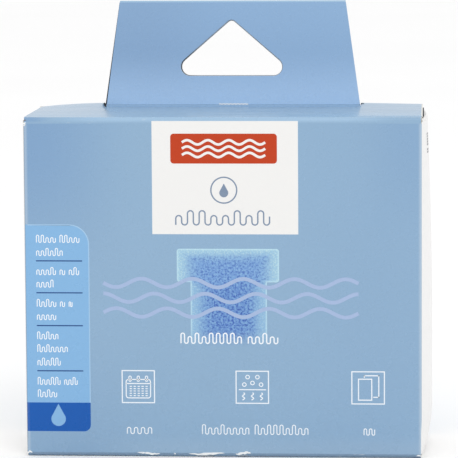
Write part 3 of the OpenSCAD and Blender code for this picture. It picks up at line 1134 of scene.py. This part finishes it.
printed("front_foam_picture", [picture_outline()], "picture")
waves = [wave(-36.6, 40.3, z, 2.6, 5, 1.15, 160, k * 0.25) for k, z in enumerate((44.0, 48.5, 53.0))]
printed("front_waves", waves, "wave", 2)
printed("front_picture_caption", scribble(-13.2, 16.0, 34.7, 3.1, 5, (0.66,), 1.05, 0.38), "text", 3)


# -------- print: the tag at the left edge
printed("side_tag", [box2(-TAG_LEFT, TAG_SPLIT, -TAG_RIGHT, TAG_HEAD, radii=(0, 0, 6, 0))], "tag")
tag_foot = box2(-TAG_LEFT, TAG_FOOT, -TAG_RIGHT, TAG_SPLIT, radii=(0, 2, 0, 0))
printed("side_tag_foot", [tag_foot], "tag_dark")
dividers = [box2(-56.9, z - 0.17, -42.9, z + 0.17) for z in (59.6, 49.9, 39.9, 26.1)]
printed("side_tag_dividers", dividers, "divider", 2)
# Each line of text: its height, where it ends, and the gaps between its words
tag_lines = (
    (66.2, -43.6, (0.5,)), (62.2, -48.7, ()),
    (56.4, -43.8, (0.5, 0.72)), (52.6, -51.6, ()),
    (46.7, -45.9, (0.6, 0.85)), (42.7, -50.9, ()),
    (36.8, -50.3, ()), (32.9, -47.5, ()), (28.8, -49.7, ()),
    (22.9, -44.6, (0.62,)), (19.1, -50.9, ()),
)
words = []
for i, (z, end, gaps) in enumerate(tag_lines):
    words += scribble(-56.7, end - 0.2, z - 1.0, 2.2, 20 + i, gaps, 0.68, 0.26)
printed("side_tag_lines", words, "text", 2)
printed("side_tag_drop", [drop(-50.6, 11.4, 2.2)], "tag", 2)
rim_line = [(-59.4, 70.5), (-46.8, 70.5)] + arc(-46.8, 64.6, 5.9, 90, 0, 10) + [(-40.9, 64.6), (-40.9, 16.4)]
printed("side_tag_rim", [stroke(rim_line, 0.3)], "tag_rim", 2)


# -------- print: the pictograms
ICON, ICON_Z, ICON_LINE = 10.1, 16.35, 0.32


def icon_frame(x):
    return frame_box(x, ICON_Z, x + ICON, ICON_Z + ICON, ICON_LINE)


def calendar():
    """A sheet with a line below its head, three rings and five rows of five dates."""
    shapes = [frame_box(-30.1, 17.8, -22.4, 23.75, 0.3, 0.9)]
    shapes.append(box2(-29.9, 22.2, -22.6, 22.5))
    shapes += [frame_box(x - 0.48, 22.9, x + 0.48, 24.75, 0.26, 0.46) for x in (-28.75, -26.25, -23.75)]
    for row in range(5):
        for col in range(5):
            x, z = 1.2 * col, 0.71 * row
            shapes.append(box2(-28.9 + x, 18.5 + z, -28.2 + x, 18.78 + z))
    return shapes


def layer():
    """Bubbles above a layer, and water passing below it."""
    bubbles = ((6.85, 24.5), (9.8, 24.5), (5.85, 22.2), (8.3, 22.7), (10.9, 22.2))
    shapes = [ring(x, z, 0.68, 0.26) for x, z in bubbles]
    shapes.append(box2(4.2, 20.5, 12.4, 20.8))
    for x in (5.6, 8.3, 11.0):
        stream = [(x + 0.36 * math.sin(k * 0.8), 19.7 - 0.17 * k) for k in range(14)]
        shapes.append(stroke(stream, ICON_LINE))
    return shapes


def sheets():
    """One sheet, and the edge of a second behind it."""
    behind = (
        [(42.0, 24.5), (42.0, 25.2)],
        [(41.85, 25.1), (46.5, 25.1)],
        [(46.35, 25.25), (46.35, 18.4)],
        [(46.5, 18.55), (44.7, 18.55)],
    )
    strokes = [stroke(line, ICON_LINE) for line in behind]
    return [frame_box(40.1, 17.5, 44.4, 24.2, ICON_LINE), *strokes]


icons = [icon_frame(x) for x in (-31.3, 3.2, 38.1)] + calendar() + layer() + sheets()
printed("front_icons", icons, "text")
captions = scribble(-29.7, -22.3, 7.0, 2.9, 41, (), 1.1, 0.28)
captions += scribble(-6.9, 25.0, 7.0, 2.9, 42, (0.47,), 0.95, 0.28)
captions += scribble(41.9, 45.1, 7.0, 2.9, 43, (), 0.85, 0.28)
printed("front_captions", captions, "text")


# -------- print: the small marks on the right side
def on_side(y, z, level):
    return (HALF_W + float(bulge(np.array(y), np.array(z), SIDE_BULGE[1])) + level, y, z)


marks = [box2(-7.6, z, -4.4, z + 0.5, 0.1) for z in (96.7, 95.9, 95.1, 94.3, 93.5, 92.0, 91.2)]
marks_obj = plate("side_print_marks", marks, on_side, 0.09, -0.1, all_over("mark"))
belongs(marks_obj, "carton", "white_board")


# -------- floor, light and camera
def make_floor():
    net = Net("studio_floor")
    color = net.mix(net.noise(3, 2, 0.5), (250, 250, 250), (254, 254, 254))
    mesh = bpy.data.meshes.new("studio_floor")
    half = 6.0
    corners = [(-half, -half, 0), (half, -half, 0), (half, half, 0), (-half, half, 0)]
    mesh.from_pydata(corners, [], [[0, 1, 2, 3]])
    mesh.materials.append(net.finish(color, 0.9, 0.0, 0.1))
    obj = bpy.data.objects.new("studio_floor", mesh)
    bpy.context.collection.objects.link(obj)


def area_light(name, place, target, size, power):
    """A round light that faces its target. Lengths here are metres."""
    light = bpy.data.lights.new(name, "AREA")
    light.shape = "DISK"
    light.size = size
    light.energy = power
    obj = bpy.data.objects.new(name, light)
    obj.location = place
    obj.rotation_euler = (Vector(target) - Vector(place)).to_track_quat("-Z", "Y").to_euler()
    bpy.context.collection.objects.link(obj)


make_floor()
world = bpy.data.worlds.new("studio")
world.use_nodes = True
world.node_tree.nodes["Background"].inputs[0].default_value = (1.0, 1.0, 1.0, 1.0)
world.node_tree.nodes["Background"].inputs[1].default_value = 1.0
bpy.context.scene.world = world
area_light("key", place=(0.5, -1.3, 1.4), target=(0.02, 0, 0.06), size=0.9, power=5.0)

bpy.context.scene.view_settings.view_transform = "Standard"
bpy.context.scene.view_settings.look = "None"

# A long lens about a metre away, a little above the carton and to its right. Lengths here are metres
CAMERA_PLACE, CAMERA_AIM, CAMERA_ROLL = (0.0785, -1.060, 0.190), (0.002, -0.020, 0.0694), -0.35
camera = bpy.data.cameras.new("camera")
camera.lens = 275.1
camera.sensor_width = 36.0
camera.clip_start = 0.05
camera.clip_end = 30.0
cam = bpy.data.objects.new("camera", camera)
cam.location = CAMERA_PLACE
cam.rotation_euler = (Vector(CAMERA_AIM) - cam.location).to_track_quat("-Z", "Y").to_euler()
cam.rotation_euler.rotate_axis("Z", math.radians(CAMERA_ROLL))
bpy.context.collection.objects.link(cam)
bpy.context.scene.camera = cam
